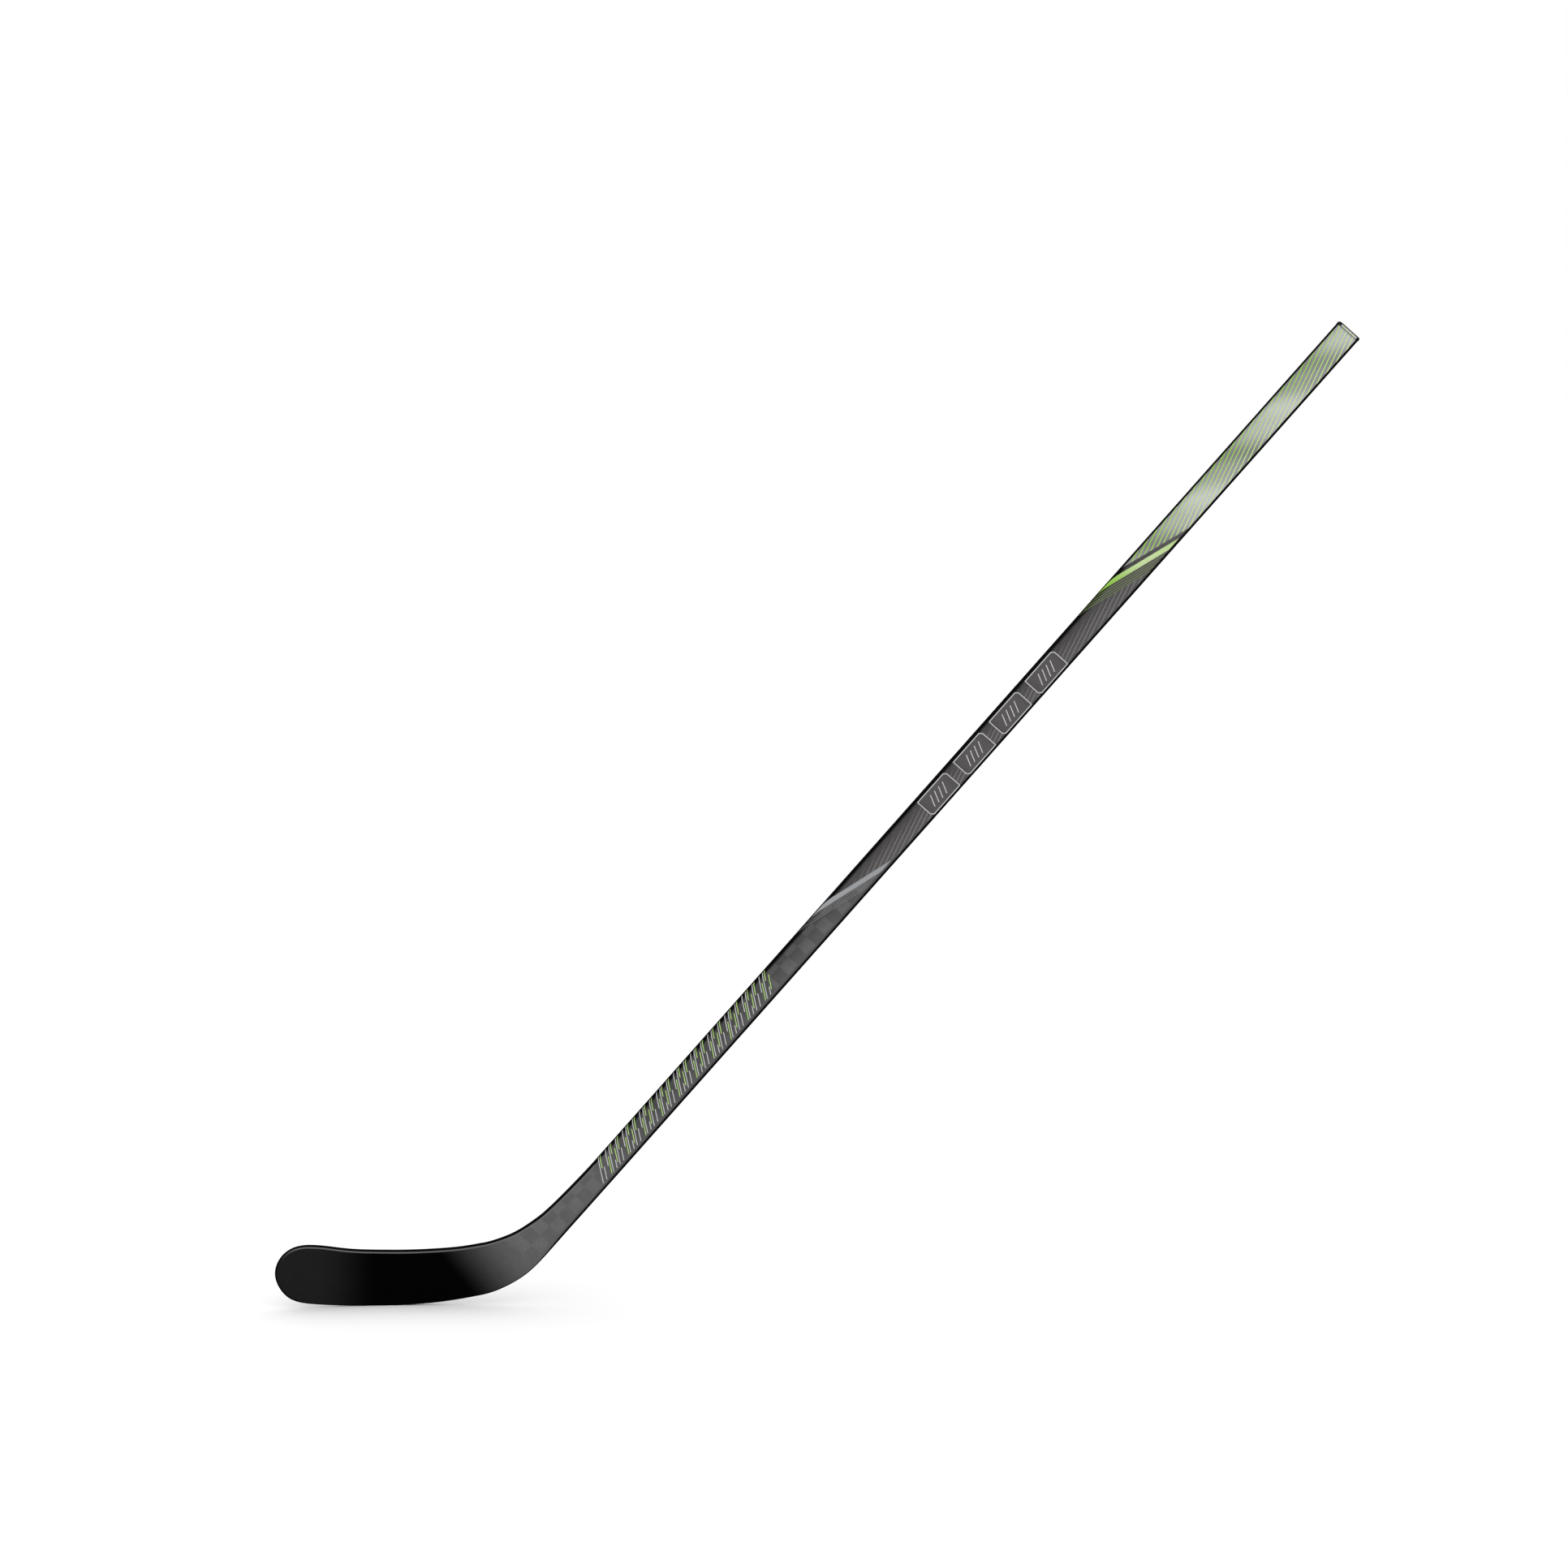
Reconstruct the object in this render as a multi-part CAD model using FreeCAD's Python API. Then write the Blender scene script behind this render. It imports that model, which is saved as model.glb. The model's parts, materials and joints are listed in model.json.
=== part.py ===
"""Composite ice hockey stick: a tapered blade, a hosel with a bonded tenon, and a hollow shaft.

Millimetres. +Z is up and the stick stands on its sole. The origin is the point of the sole that
touches the ground, in the middle of its thickness. +X runs from the toe towards the heel and the
butt. The forehand face looks towards -Y, and the toe curves that way.
"""

import FreeCAD, Part
import math
import os

V = FreeCAD.Vector

# Whole stick
stick_length = 1524.0        # virtual heel to butt, along the shaft's back edge
shaft_angle = 48.8           # shaft above the ground
heel_reach = 141.8           # ground contact to the virtual heel
toe_reach = 126.4            # ground contact to the tip of the toe

# Shaft
shaft_width = 30.8           # broad face
shaft_depth = 20.2           # narrow face
shaft_corner = 4.8
weave_thickness = 0.4
tube_wall = 1.7

# Butt plug
flange_thickness = 4.0
flange_proud = 0.3
flange_round = 1.2
seat_gap = 0.2
spigot_length = 42.0
spigot_wall = 2.2
spigot_clearance = 0.25
web_count = 4
web_thickness = 1.6

# Hosel and tenon
joint_station = 205.0        # virtual heel to the shaft's lower end, along the shaft
hosel_wall = 1.5
tenon_length = 68.0          # part of the tenon inside the shaft
tenon_root = 25.0            # part of the tenon inside the hosel
tenon_wall = 2.2
bond_thickness = 0.2
damper_gap = 6.0
damper_length = 40.0

# Blade
blade_height = 71.5          # at the toe end, where it is tallest
waist_drop = 4.5             # the top edge's lowest point, below the blade height
hosel_start = 118.0          # ground contact to where the flat blade turns into the hosel
heel_drop = 8.7              # blade height there, below the blade height
heel_lift = 12.2             # sole above the ground there
toe_lift = 4.2               # sole above the ground where the toe's round begins
sole_flat = 16.0             # level stretch of the sole at the ground contact
toe_thickness = 5.2
heel_thickness = 8.0
edge_round = 1.8
curve_start = 84.0           # ground contact to where the blade starts to curve
curve_radius = 1250.0
skin_thickness = 0.9
edge_width = 4.0
rib_height = 3.0

overrun = 30.0               # cutters reach this far past what they cut
smallest_corner = 0.6
end_lead = 8.0               # the hosel's cutters follow the blade and the shaft this far

angle = math.radians(shaft_angle)
along = V(math.cos(angle), 0, math.sin(angle))
across = V(-math.sin(angle), 0, math.cos(angle))     # towards the shaft's top edge
shaft_plane = curve_start ** 2 / (2 * curve_radius)  # Y of the shaft and of the blade's straight part
heel = V(heel_reach, shaft_plane, 0)
bore_inset = weave_thickness + tube_wall
tenon_inset = bore_inset + bond_thickness
plug_seat = stick_length - flange_thickness
shaft_end = plug_seat - seat_gap
tenon_top = joint_station + tenon_length
tenon_bottom = joint_station - tenon_root
waist_height = blade_height - waist_drop
heel_height = blade_height - heel_drop


def shaft_point(station, offset):
    """A point of the shaft's mid plane: a distance along the back edge, and one across from it."""
    return heel + along * station + across * offset


def rounded_section(width, depth, radius, centre, up):
    """A rounded rectangle, its width along up and its depth along Y."""
    w = width / 2
    d = depth / 2
    r = min(radius, 0.98 * w, 0.98 * d)
    c = r * (1 - math.sqrt(0.5))

    def at(u, v):
        return centre + up * u + V(0, v, 0)

    edges = [
        Part.LineSegment(at(-w + r, -d), at(w - r, -d)),
        Part.Arc(at(w - r, -d), at(w - c, -d + c), at(w, -d + r)),
        Part.LineSegment(at(w, -d + r), at(w, d - r)),
        Part.Arc(at(w, d - r), at(w - c, d - c), at(w - r, d)),
        Part.LineSegment(at(w - r, d), at(-w + r, d)),
        Part.Arc(at(-w + r, d), at(-w + c, d - c), at(-w, d - r)),
        Part.LineSegment(at(-w, d - r), at(-w, -d + r)),
        Part.Arc(at(-w, -d + r), at(-w + c, -d + c), at(-w + r, -d)),
    ]
    return Part.Wire([edge.toShape() for edge in edges])


def shaft_bar(inset, start, end):
    """A solid bar between two stations. Its section is the shaft's, smaller by the inset all round."""
    width = shaft_width - 2 * inset
    depth = shaft_depth - 2 * inset
    radius = max(shaft_corner - inset, smallest_corner)
    centre = shaft_point(start, shaft_width / 2)
    return Part.Face(rounded_section(width, depth, radius, centre, across)).extrude(along * (end - start))


def shaft_sleeve(outer_inset, inner_inset, start, end):
    """A tube between two stations and two insets."""
    return shaft_bar(outer_inset, start, end).cut(shaft_bar(inner_inset, start - overrun, end + overrun))


# Shaft


def shaft_weave_sleeve():
    return shaft_sleeve(0, weave_thickness, joint_station, shaft_end)


def shaft_tube():
    return shaft_sleeve(weave_thickness, bore_inset, joint_station, shaft_end)


def shaft_foam_damper():
    start = tenon_top + damper_gap
    return shaft_bar(bore_inset, start, start + damper_length)


def butt_plug():
    flange = shaft_bar(-flange_proud, plug_seat, stick_length)
    outer_face = max(flange.Faces, key=lambda face: face.CenterOfMass.dot(along))
    flange = flange.makeFillet(min(flange_round, flange_thickness / 3), outer_face.Edges)
    outer_inset = bore_inset + spigot_clearance
    inner_inset = outer_inset + spigot_wall
    tip = plug_seat - spigot_length
    spigot = shaft_bar(outer_inset, tip, plug_seat).cut(shaft_bar(inner_inset, tip - overrun, plug_seat))
    plug = flange.fuse(spigot)
    pitch = spigot_length / (web_count + 1)
    for index in range(web_count):
        middle = tip + pitch * (index + 1)
        web = shaft_bar(inner_inset - spigot_wall / 2, middle - web_thickness / 2, middle + web_thickness / 2)
        plug = plug.fuse(web)
    return plug


# Hosel


def hosel_stations():
    """The hosel's cross lines from blade to shaft: sole side, top side, share of the growth, corner."""
    plane = shaft_plane
    reach = heel_reach
    blade_top = V(hosel_start, plane, heel_lift + heel_height)
    shaft_top = shaft_point(114.0, shaft_width + 5.3)
    run = shaft_top - blade_top
    hollow = V(run.z, 0, -run.x).normalize()

    def top_side(share, depth):
        """A point of the top side, as a share of the way to the shaft, sunk by the depth."""
        return blade_top + run * share + hollow * depth

    lead = V(end_lead, 0, 0)
    return [
        (V(hosel_start, plane, heel_lift) - lead, blade_top - lead, 0.0, edge_round),
        (V(hosel_start, plane, heel_lift), blade_top, 0.0, edge_round),
        (V(reach + 4, plane, heel_lift + 9.5), top_side(0.24, 3.8), 0.06, 2.3),
        (V(reach + 30, plane, heel_lift + 25), top_side(0.495, 5.3), 0.19, 2.8),
        (shaft_point(77.0, -0.2), top_side(0.788, 3.0), 0.37, 3.4),
        (shaft_point(112.0, 0), shaft_top, 0.61, 4.0),
        (shaft_point(152.0, 0), shaft_point(151.0, shaft_width + 2.0), 0.85, 4.5),
        (shaft_point(joint_station, 0), shaft_point(joint_station, shaft_width), 1.0, shaft_corner),
        (shaft_point(joint_station + end_lead, 0), shaft_point(joint_station + end_lead, shaft_width),
         1.0, shaft_corner),
    ]


def hosel_form(inset):
    """The hosel's form drawn in by the inset on its long sides, running on past both its ends."""
    sections = []
    for low, high, share, corner in hosel_stations():
        up = (high - low).normalize()
        width = (high - low).Length - 2 * inset
        depth = heel_thickness + (shaft_depth - heel_thickness) * share - 2 * inset
        radius = max(corner - inset, smallest_corner)
        sections.append(rounded_section(width, depth, radius, (low + high) / 2, up))
    return Part.makeLoft(sections, True, False)


def trimmed_to_hosel(form):
    """A form cut off where the hosel meets the blade and where it meets the shaft."""
    height = blade_height + 4 * overrun
    blade_side = Part.makeBox(overrun, height, height, V(hosel_start - overrun, shaft_plane - height / 2, -overrun))
    return form.cut(blade_side).cut(shaft_bar(-overrun, joint_station, joint_station + overrun))


def tenon_root_block():
    """The part of the hosel's inside that the tenon's root takes up, out past the hosel's walls."""
    return shaft_bar(-overrun, tenon_bottom, joint_station + overrun)


def hosel_shell():
    return trimmed_to_hosel(hosel_form(0).cut(hosel_form(hosel_wall)))


def hosel_foam_core():
    return trimmed_to_hosel(hosel_form(hosel_wall)).cut(tenon_root_block())


def hosel_tenon():
    return shaft_sleeve(tenon_inset, tenon_inset + tenon_wall, tenon_bottom, tenon_top)


def tenon_foam_core():
    return shaft_bar(tenon_inset + tenon_wall, tenon_bottom, tenon_top)


def hosel_bond_sleeve():
    """Adhesive round the tenon's root, in the hosel's mouth."""
    mouth = trimmed_to_hosel(hosel_form(hosel_wall)).common(tenon_root_block())
    return mouth.cut(shaft_bar(tenon_inset, tenon_bottom - overrun, joint_station + overrun))


def shaft_bond_sleeve():
    """Adhesive round the tenon inside the shaft."""
    return shaft_sleeve(bore_inset, tenon_inset, joint_station, tenon_top)


# Blade


def spline(points, start_tangent=None, end_tangent=None):
    curve = Part.BSplineCurve()
    vectors = [V(*point) for point in points]
    if start_tangent and end_tangent:
        curve.interpolate(Points=vectors, InitialTangent=V(*start_tangent), FinalTangent=V(*end_tangent))
    else:
        curve.interpolate(vectors)
    return curve.toShape()


def blade_outline(inset):
    """The blade's side outline from the heel along the sole, round the toe and back along the top.

    The inset draws it in from the sole, the toe and the top, but not at the hosel.
    """
    toe = toe_reach
    tall = toe_lift + blade_height
    half_flat = sole_flat / 2
    heel_sole = [
        (hosel_start, 0, heel_lift + inset),
        (0.59 * hosel_start, 0, 0.31 * heel_lift + inset),
        (0.30 * hosel_start, 0, 0.07 * heel_lift + inset),
        (half_flat, 0, inset),
    ]
    toe_and_top = [
        (-half_flat, 0, inset),
        (-0.36 * toe, 0, 0.21 * toe_lift + inset),
        (-0.68 * toe, 0, toe_lift + inset),
        (-0.865 * toe + 0.4 * inset, 0, 0.16 * blade_height + 0.9 * inset),
        (-0.96 * toe + 0.8 * inset, 0, 0.35 * blade_height + 0.6 * inset),
        (-toe + inset, 0, 0.58 * blade_height),
        (-0.945 * toe + 0.85 * inset, 0, 0.865 * blade_height - 0.5 * inset),
        (-0.82 * toe + 0.35 * inset, 0, 1.025 * blade_height - 0.9 * inset),
        (-0.68 * toe, 0, tall - inset),
        (-0.36 * toe, 0, waist_height + 0.4 * (tall - waist_height) - inset),
        (0, 0, waist_height + 0.06 * (tall - waist_height) - inset),
        (0.30 * hosel_start, 0, waist_height + 0.2 - inset),
        (0.59 * hosel_start, 0, waist_height + 1.7 - inset),
        (hosel_start, 0, heel_lift + heel_height - inset),
    ]
    edges = [
        spline(heel_sole, (-1, 0, -0.20), (-1, 0, 0)),
        Part.makeLine(V(half_flat, 0, inset), V(-half_flat, 0, inset)),
        spline(toe_and_top, (-1, 0, 0), (1, 0, 0.20)),
        Part.makeLine(V(*toe_and_top[-1]), V(*heel_sole[0])),
    ]
    return Part.Wire(edges)


def centre_line(x):
    bend = max(curve_start - x, 0)
    return shaft_plane - bend * bend / (2 * curve_radius)


def blade_thickness(x):
    share = (x + toe_reach) / (hosel_start + toe_reach)
    return toe_thickness + (heel_thickness - toe_thickness) * share


def plan_band(near_share, near_shift, far_share, far_shift):
    """The slab between two levels of the blade's thickness, following its curve.

    A level is a share of the thickness, 0 at the forehand face and 1 at the backhand face, and a
    distance that is added to it.
    """
    low = -toe_reach - overrun
    count = 8
    stations = [low + (hosel_start - low) * step / count for step in range(count + 1)]

    def line(share, shift):
        return [(x, centre_line(x) + (share - 0.5) * blade_thickness(x) + shift, -overrun) for x in stations]

    near = line(near_share, near_shift)
    far = line(far_share, far_shift)
    edges = [
        spline(near),
        Part.makeLine(V(*near[-1]), V(*far[-1])),
        spline(far),
        Part.makeLine(V(*far[0]), V(*near[0])),
    ]
    face = Part.Face(Part.Wire(Part.__sortEdges__(edges)))
    return face.extrude(V(0, 0, blade_height + 3 * overrun))


def side_prism(wire):
    """A prism through the whole blade from a wire in the XZ plane."""
    depth = 2 * overrun + 4 * heel_thickness
    face = Part.Face(wire)
    face.translate(V(0, depth / 2, 0))
    return face.extrude(V(0, -depth, 0))


def side_polygon(points):
    vectors = [V(x, 0, z) for x, z in points]
    return side_prism(Part.makePolygon(vectors + vectors[:1]))


def blade_blank():
    """The whole blade as one solid, with its long edges rounded."""
    blank = side_prism(blade_outline(0)).common(plan_band(0, 0, 1, 0))
    rim = []
    for edge in blank.Edges:
        middle = edge.valueAt((edge.FirstParameter + edge.LastParameter) / 2)
        at_hosel = abs(middle.x - hosel_start) < 0.01
        runs_across = abs(edge.Vertexes[0].Point.y - edge.Vertexes[-1].Point.y) > 0.9 * toe_thickness
        if not at_hosel and not runs_across:
            rim.append(edge)
    return blank.makeFillet(edge_round, rim)


def blade_pieces():
    """Two skins, three edge pieces, two foam cores and the rib between them, cut from one blank."""
    blank = blade_blank()
    skin = skin_thickness
    slab = blank.common(plan_band(0, skin, 1, -skin))
    inside = side_prism(blade_outline(edge_width))
    ring = slab.cut(inside)
    filling = slab.common(inside)

    far = toe_reach + overrun
    high = blade_height + 2 * overrun
    toe_start = 0.68 * toe_reach
    rib_toe = toe_lift + blade_height / 2
    rib_heel = heel_lift + heel_height / 2
    slope = (rib_heel - rib_toe) / (hosel_start + toe_reach)

    def rib_line(x, shift):
        return rib_toe + slope * (x + toe_reach) + shift

    def strip(low_shift, high_shift):
        return side_polygon([
            (-far, rib_line(-far, low_shift)),
            (far, rib_line(far, low_shift)),
            (far, rib_line(far, high_shift)),
            (-far, rib_line(-far, high_shift)),
        ])

    half_rib = rib_height / 2
    toe_side = side_polygon([(-far, -overrun), (-toe_start, -overrun), (-toe_start, high), (-far, high)])
    straight_ring = ring.cut(toe_side)
    return {
        "blade_front_skin": blank.common(plan_band(0, -skin, 0, skin)),
        "blade_back_skin": blank.common(plan_band(1, -skin, 1, skin)),
        "blade_toe_edge": ring.common(toe_side),
        "blade_top_edge": straight_ring.common(strip(0, high)),
        "blade_sole_edge": straight_ring.common(strip(-high, 0)),
        "blade_centre_rib": filling.common(strip(-half_rib, half_rib)),
        "blade_upper_core": filling.common(strip(half_rib, high)),
        "blade_lower_core": filling.common(strip(-high, -half_rib)),
    }


def all_pieces():
    pieces = {
        "shaft_weave_sleeve": shaft_weave_sleeve(),
        "shaft_tube": shaft_tube(),
        "shaft_foam_damper": shaft_foam_damper(),
        "butt_plug": butt_plug(),
        "hosel_shell": hosel_shell(),
        "hosel_foam_core": hosel_foam_core(),
        "hosel_tenon": hosel_tenon(),
        "tenon_foam_core": tenon_foam_core(),
        "hosel_bond_sleeve": hosel_bond_sleeve(),
        "shaft_bond_sleeve": shaft_bond_sleeve(),
    }
    pieces.update(blade_pieces())
    return pieces


os.makedirs("parts", exist_ok=True)
for name, shape in all_pieces().items():
    if len(shape.Solids) != 1 or not shape.isValid():
        raise ValueError(name + " should be one valid solid, and has " + str(len(shape.Solids)))
    shape.Solids[0].exportStep("parts/" + name + ".step")
    print(name, round(shape.Volume / 1000, 2), "cm3")
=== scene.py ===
import bpy
import bmesh
import json
import math
import numpy as np
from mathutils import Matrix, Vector
from mathutils.bvhtree import BVHTree


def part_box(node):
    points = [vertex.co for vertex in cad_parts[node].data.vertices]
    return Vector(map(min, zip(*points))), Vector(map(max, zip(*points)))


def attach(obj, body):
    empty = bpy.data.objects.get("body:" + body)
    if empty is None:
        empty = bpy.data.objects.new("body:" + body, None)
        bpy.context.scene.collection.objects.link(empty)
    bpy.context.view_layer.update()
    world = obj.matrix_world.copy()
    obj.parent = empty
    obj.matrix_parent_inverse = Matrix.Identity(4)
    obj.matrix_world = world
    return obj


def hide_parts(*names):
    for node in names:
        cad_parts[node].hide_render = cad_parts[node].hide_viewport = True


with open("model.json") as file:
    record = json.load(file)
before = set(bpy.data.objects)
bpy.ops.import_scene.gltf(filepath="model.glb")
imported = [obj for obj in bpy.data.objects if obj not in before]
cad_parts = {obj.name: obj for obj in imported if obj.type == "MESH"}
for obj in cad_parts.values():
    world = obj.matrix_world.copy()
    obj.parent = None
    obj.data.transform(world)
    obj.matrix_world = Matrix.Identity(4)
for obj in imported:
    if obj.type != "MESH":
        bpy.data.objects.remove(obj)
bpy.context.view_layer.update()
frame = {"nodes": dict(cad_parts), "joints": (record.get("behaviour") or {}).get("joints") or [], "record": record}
nodes = frame["nodes"]
print("frame loaded:", len(nodes), "nodes")

mm = 0.001


# the stick's own lines: everything below is placed from them

mounts = {m["name"]: m for m in frame["record"]["mounts"]}
along = Vector(frame["joints"][0]["axis"]).normalized()     # up the shaft
across = Vector((-along.z, 0, along.x))                     # towards the shaft's top edge
sleeve = np.array([v.co for v in nodes["shaft_weave_sleeve"].data.vertices])
alongSpan = sleeve @ np.array(along)
acrossSpan = sleeve @ np.array(across)
shaftWidth = float(acrossSpan.max() - acrossSpan.min())
shaftDepth = float(sleeve[:, 1].max() - sleeve[:, 1].min())
shaftCorner = 4.8 * mm
buttCentre = Vector(mounts["extension_socket"]["pos_m"])
backEdge = buttCentre - across * shaftWidth / 2
heel = backEdge - along * (backEdge.z / along.z)            # where the back edge's line meets the ground
axisStart = heel + across * shaftWidth / 2                  # the shaft's centre line at the heel
stationStart = float(alongSpan.min() - heel.dot(along))
stationEnd = float(alongSpan.max() - heel.dot(along))
print("shaft from", round(stationStart, 4), "to", round(stationEnd, 4), "m above the heel")


class Wire:
    # a node's output that does its own maths

    def __init__(self, graph, socket):
        self.graph = graph
        self.socket = socket

    def out(self, name):
        return Wire(self.graph, self.socket.node.outputs[name])

    def maths(self, operation, other=None, flip=False):
        pair = [self] if other is None else [self, other]
        if flip:
            pair.reverse()
        return self.graph.add("ShaderNodeMath", {"operation": operation}, dict(enumerate(pair)))

    def __add__(self, other):
        return self.maths("ADD", other)

    def __radd__(self, other):
        return self.maths("ADD", other)

    def __sub__(self, other):
        return self.maths("SUBTRACT", other)

    def __rsub__(self, other):
        return self.maths("SUBTRACT", other, True)

    def __mul__(self, other):
        return self.maths("MULTIPLY", other)

    def __rmul__(self, other):
        return self.maths("MULTIPLY", other)

    def __truediv__(self, other):
        return self.maths("DIVIDE", other)

    def __mod__(self, other):
        return self.maths("FLOORED_MODULO", other)

    def __gt__(self, other):
        return self.maths("GREATER_THAN", other)

    def __lt__(self, other):
        return self.maths("LESS_THAN", other)

    def __abs__(self):
        return self.maths("ABSOLUTE")

    def floor(self):
        return self.maths("FLOOR")

    def least(self, other):
        return self.maths("MINIMUM", other)

    def most(self, other):
        return self.maths("MAXIMUM", other)

    def ramp(self, low, high, start=0.0, end=1.0):
        # eases from start to end while this goes from low to high
        values = {"Value": self, "From Min": low, "From Max": high, "To Min": start, "To Max": end}
        return self.graph.add("ShaderNodeMapRange", {"interpolation_type": "SMOOTHSTEP"}, values)


class Graph:
    # a node tree, with one way to add any node

    def __init__(self, tree):
        self.tree = tree

    def add(self, kind, settings=None, values=None):
        node = self.tree.nodes.new(kind)
        for name, value in (settings or {}).items():
            setattr(node, name, value)
        for name, value in (values or {}).items():
            self.feed(node.inputs[name], value)
        return Wire(self, node.outputs[0]) if node.outputs else node

    def feed(self, socket, value):
        if isinstance(value, Wire):
            self.tree.links.new(value.socket, socket)
        else:
            socket.default_value = value

    def blend(self, amount, first, second, kind="MIX"):
        # from the first colour to the second
        mix = self.add("ShaderNodeMix", {"data_type": "RGBA", "blend_type": kind}).socket.node
        self.feed(mix.inputs["Factor"], amount)
        colours = [s for s in mix.inputs if s.type == "RGBA"]
        self.feed(colours[0], first)
        self.feed(colours[1], second)
        return Wire(self, next(s for s in mix.outputs if s.type == "RGBA"))

    def shaded(self, colour, level):
        # the colour, lighter or darker by a level around 1
        tint = self.add("ShaderNodeCombineXYZ", None, {0: level, 1: level, 2: level})
        return self.blend(1.0, colour, tint, "MULTIPLY")

    def dot(self, vector, direction):
        pair = {0: vector, 1: tuple(direction)}
        return self.add("ShaderNodeVectorMath", {"operation": "DOT_PRODUCT"}, pair).out("Value")


# colours and finishes

def linear(red, green, blue):
    # a colour picked on the screen, 0 to 255, as light
    def one(value):
        value /= 255
        return value / 12.92 if value <= 0.04045 else ((value + 0.055) / 1.055) ** 2.4
    return one(red), one(green), one(blue), 1.0


def newPaint(name):
    material = bpy.data.materials.new(name)
    material.use_nodes = True
    material.node_tree.nodes.clear()
    return material, Graph(material.node_tree)


def coat(graph, colour, roughness, fixed=None, normal=None):
    values = {"Base Color": colour, "Roughness": roughness}
    values.update(fixed or {})
    if normal is not None:
        values["Normal"] = normal
    surface = graph.add("ShaderNodeBsdfPrincipled", None, values)
    graph.add("ShaderNodeOutputMaterial", None, {"Surface": surface})


def shaftPlace(graph):
    # where a point is: its own place, how far up the shaft, and how far across it from the centre line
    place = graph.add("ShaderNodeTexCoord").out("Object")
    station = graph.dot(place, along) - axisStart.dot(along)
    offset = graph.dot(place, across) - axisStart.dot(across)
    return place, station, offset


def noise(graph, place, size, detail=2.0, rough=0.5):
    # soft random values around 0.5, with features of this size in metres
    values = {"Vector": place, "Scale": 1.0 / size, "Detail": detail, "Roughness": rough}
    return graph.add("ShaderNodeTexNoise", None, values)


def bump(graph, height, strength, distance):
    return graph.add("ShaderNodeBump", None, {"Strength": strength, "Distance": distance, "Height": height})


def twill(first, second, tow):
    # the height of a 2 by 2 twill
    firstCell = first / tow
    secondCell = second / tow
    over = ((firstCell.floor() - secondCell.floor()) % 4) < 2
    firstCrown = ((firstCell % 1) * math.pi).maths("SINE")
    secondCrown = ((secondCell % 1) * math.pi).maths("SINE")
    return over * firstCrown + (1 - over) * secondCrown


# lengths up the shaft are from the heel; lengths across it are from its centre line, up to the top edge
carbon = {
    "square": 16.0 * mm,           # the big woven tapes
    "rowEdge": 5.6 * mm,           # where the two rows of tapes meet
    "rowLow": -9.0 * mm,           # where the lower row ends
    "lowZone": (0.058, 0.074, 0.196),    # up the shaft: squares start, are full, and stop
    "lowShare": 0.6,               # they are fainter there
    "highZone": 0.506,             # and start again at full strength
    "light": (97, 96, 97),
    "dark": (85, 84, 85),
    "striped": (88, 84, 86),       # under the pinstripes
    "bands": (-3.45, 0.672),       # slope and place of the line where the pinstriped part begins
    "edge": (7, 7, 7),             # painted shade on the narrow sides and rounded edges
    "blade": (1, 1, 1),
    # painted reflection: the toe is painted lighter than the rest of the black blade
    "toe": (25, 25, 25),
    "toeSheen": (-5.0 * mm, -80.0 * mm),
    "heelFade": (0.116, 0.226),    # from the blade's black to the shaft's grey, partly painted shade of the hosel's tilting face
    "heelLean": 0.8,               # how that change leans with height
    "hoselLight": 1.17,            # painted light: the hosel is painted lighter than the shaft
    "hoselLightEnd": (0.19, 0.28),
    "crossShade": (9.0 * mm, -10.0 * mm, 0.74, 1.04),    # painted shade: the face is darker towards the top edge
    "cloud": 9.0 * mm,
    "cloudShare": 0.25,
    "grain": 0.7 * mm,
    "grainShare": 0.9,
    "tow": 1.5 * mm,               # the fine weave
    "towShare": 0.5,
    "grainRelief": 0.6,
    "relief": (0.25, 0.05 * mm),   # strength and height
    "roughness": 0.42,
    "bladeRougher": 0.16,
    "grainRougher": 0.12,
    "gloss": 0.2,
}

# where the painted shade on the edges ends, and where the painted highlight line lies
rimShadeAndHighlight = {
    "join": (0.05, 0.13),          # up the shaft: the blade's thin lower edge widens to the shaft's
    "shellTop": (1.9 * mm, 2.9 * mm),
    "shellLow": 0.9 * mm,
    "shellLowGrowth": 1.3 * mm,
    "shellLowSoft": 1.1 * mm,
    "line": (98, 98, 98),          # painted highlight: the thin bright line under the blade's top rim
    "highlightStart": (1.5 * mm, 2.4 * mm),
    "highlightEnd": (2.6 * mm, 4.2 * mm),
    "highlightToe": (-0.122, -0.098),   # it fades out round the toe
    "highlightHeight": (0.040, 0.056),
    # painted shade on the sleeve's edges, sharp next to the hosel and softer further up
    "sharpTop": (13.8 * mm, 12.4 * mm),    # the sleeve's top edge next to the hosel
    "softTop": (14.1 * mm, 10.2 * mm),     # and further up
    "spread": (0.20, 0.27),
    "back": (-13.1 * mm, -10.7 * mm),
}


def rimDepth(graph, name):
    return graph.add("ShaderNodeAttribute", {"attribute_name": name}).out("Fac")


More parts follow.
